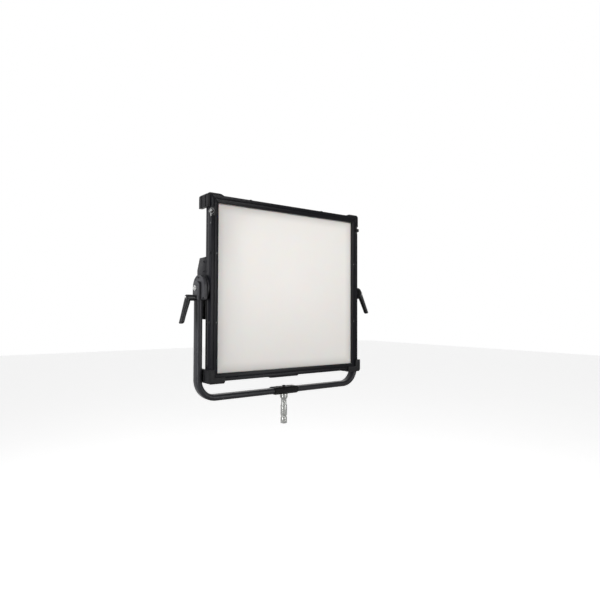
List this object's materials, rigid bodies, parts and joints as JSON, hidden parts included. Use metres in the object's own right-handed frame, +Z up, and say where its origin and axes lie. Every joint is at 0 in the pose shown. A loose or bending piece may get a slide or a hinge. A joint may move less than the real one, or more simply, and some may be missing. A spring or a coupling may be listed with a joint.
{
  "type": "led panel light",
  "caption": "Square soft LED panel with opal front, corner bumpers, finned back and control box, tilting in a U-shaped tube yoke with clamping levers and a stand spigot.",
  "frame": {"origin": "centre of the spigot's bottom end face", "axes": "+Z up along the spigot, -Y the way the light shines, X along the tilt axis"},
  "size_m": [0.9181, 0.1535, 0.8848],
  "materials": {
    "frame_paint": "fine satin black powder coat",
    "yoke_paint": "satin dark grey powder coat",
    "casting_paint": "textured black paint on castings",
    "bumper_rubber": "moulded black rubber",
    "black_plastic": "fine grained black plastic",
    "diffuser_sheet": "frosted opal sheet",
    "reflector_white": "matt white",
    "bare_aluminium": "plain extruded aluminium",
    "spigot_metal": "turned and tumbled aluminium",
    "bright_steel": "bright zinc plated steel",
    "circuit_board": "green solder mask",
    "brake_lining": "brown friction lining",
    "display_face": "dark smooth display window"
  },
  "bodies": {
    "yoke": {"yoke_tube": "yoke_paint", "spigot_clamp_upper": "casting_paint", "spigot_clamp_lower": "casting_paint", "spigot": "spigot_metal", "spigot_bolt": "bright_steel", "yoke_fitting_left": "casting_paint", "yoke_fitting_right": "casting_paint"},
    "lamp_head": {"accessory_lock_base_left": "black_plastic", "accessory_lock_base_right": "black_plastic", "bottom_pad": "bumper_rubber", "carry_handle": "bumper_rubber", "chassis_plate": "bare_aluminium", "connector_panel": "black_plastic", "control_panel": "black_plastic", "corner_bumper_lower_left": "bumper_rubber", "corner_bumper_lower_right": "bumper_rubber", "corner_bumper_upper_left": "bumper_rubber", "corner_bumper_upper_right": "bumper_rubber", "diffuser_panel": "diffuser_sheet", "display_window": "display_face", "dmx_input": "bright_steel", "dmx_output": "bright_steel", "driver_board": "circuit_board", "electronics_housing": "casting_paint", "ethernet_socket": "bright_steel", "fan_frame_left": "black_plastic", "fan_frame_right": "black_plastic", "frame_bottom_rail": "frame_paint", "frame_left_rail": "frame_paint", "frame_right_rail": "frame_paint", "frame_top_rail": "frame_paint", "friction_disc_left": "brake_lining", "friction_disc_right": "brake_lining", "heat_sink_left": "bare_aluminium", "heat_sink_right": "bare_aluminium", "led_board_left": "reflector_white", "led_board_right": "reflector_white", "pivot_bolt_left": "bright_steel", "pivot_drum_left": "casting_paint", "pivot_drum_right": "casting_paint", "power_inlet": "black_plastic", "power_supply": "bare_aluminium", "rear_cover": "frame_paint", "reflector_walls": "reflector_white", "side_bracket_left": "casting_paint", "side_bracket_right": "casting_paint"},
    "fan_rotor_left": {"fan_rotor_left": "black_plastic"},
    "fan_rotor_right": {"fan_rotor_right": "black_plastic"},
    "menu_knob": {"menu_knob": "black_plastic"},
    "dimmer_knob": {"dimmer_knob": "black_plastic"},
    "first_button": {"first_button": "black_plastic"},
    "second_button": {"second_button": "black_plastic"},
    "third_button": {"third_button": "black_plastic"},
    "power_rocker": {"power_rocker": "black_plastic"},
    "accessory_lock_left": {"accessory_lock_knob_left": "bright_steel"},
    "accessory_lock_right": {"accessory_lock_knob_right": "bright_steel"},
    "left_lever": {"left_lever_stud": "bright_steel"},
    "left_lever_grip": {"left_lever_handle": "black_plastic"},
    "right_lever": {"right_lever_stud": "bright_steel"},
    "right_lever_grip": {"right_lever_handle": "black_plastic"}
  },
  "joints": [
    {"name": "head_tilt", "type": "hinge", "parent": "yoke", "child": "lamp_head", "pos_m": [0, 0, 0.5383], "axis": [1, 0, 0], "range_deg": [-90, 90]},
    {"name": "left_lever_turn", "type": "hinge", "parent": "yoke", "child": "left_lever", "pos_m": [-0.3935, 0, 0.5023], "axis": [1, 0, 0], "range_deg": [-90, 90]},
    {"name": "left_lever_pull", "type": "slide", "parent": "left_lever", "child": "left_lever_grip", "axis": [-1, 0, 0], "range_m": [0, 0.006], "stiffness_N_per_m": 900, "springref_m": -0.002},
    {"name": "right_lever_turn", "type": "hinge", "parent": "yoke", "child": "right_lever", "pos_m": [0.3935, 0, 0.5383], "axis": [1, 0, 0], "range_deg": [-90, 90]},
    {"name": "right_lever_pull", "type": "slide", "parent": "right_lever", "child": "right_lever_grip", "axis": [1, 0, 0], "range_m": [0, 0.006], "stiffness_N_per_m": 900, "springref_m": -0.002},
    {"name": "accessory_lock_left_pull", "type": "slide", "parent": "lamp_head", "child": "accessory_lock_left", "axis": [-0.7071, -0.7071, 0], "range_m": [0, 0.006], "stiffness_N_per_m": 700, "springref_m": -0.003},
    {"name": "accessory_lock_right_pull", "type": "slide", "parent": "lamp_head", "child": "accessory_lock_right", "axis": [0.7071, -0.7071, 0], "range_m": [0, 0.006], "stiffness_N_per_m": 700, "springref_m": -0.003},
    {"name": "fan_left_spin", "type": "hinge", "parent": "lamp_head", "child": "fan_rotor_left", "pos_m": [-0.062, 0.06, 0.6503], "axis": [0, 1, 0], "continuous": true},
    {"name": "fan_right_spin", "type": "hinge", "parent": "lamp_head", "child": "fan_rotor_right", "pos_m": [0.062, 0.06, 0.6503], "axis": [0, 1, 0], "continuous": true},
    {"name": "menu_knob_turn", "type": "hinge", "parent": "lamp_head", "child": "menu_knob", "pos_m": [-0.041, 0.0756, 0.5423], "axis": [0, 1, 0], "continuous": true},
    {"name": "dimmer_knob_turn", "type": "hinge", "parent": "lamp_head", "child": "dimmer_knob", "pos_m": [-0.087, 0.0756, 0.5423], "axis": [0, 1, 0], "continuous": true},
    {"name": "first_button_press", "type": "slide", "parent": "lamp_head", "child": "first_button", "axis": [0, -1, 0], "range_m": [0, 0.0015], "stiffness_N_per_m": 500, "springref_m": -0.0004},
    {"name": "second_button_press", "type": "slide", "parent": "lamp_head", "child": "second_button", "axis": [0, -1, 0], "range_m": [0, 0.0015], "stiffness_N_per_m": 500, "springref_m": -0.0004},
    {"name": "third_button_press", "type": "slide", "parent": "lamp_head", "child": "third_button", "axis": [0, -1, 0], "range_m": [0, 0.0015], "stiffness_N_per_m": 500, "springref_m": -0.0004},
    {"name": "power_rocker_tip", "type": "hinge", "parent": "lamp_head", "child": "power_rocker", "pos_m": [-0.058, 0.0756, 0.4103], "axis": [1, 0, 0], "range_deg": [0, 20]}
  ]
}
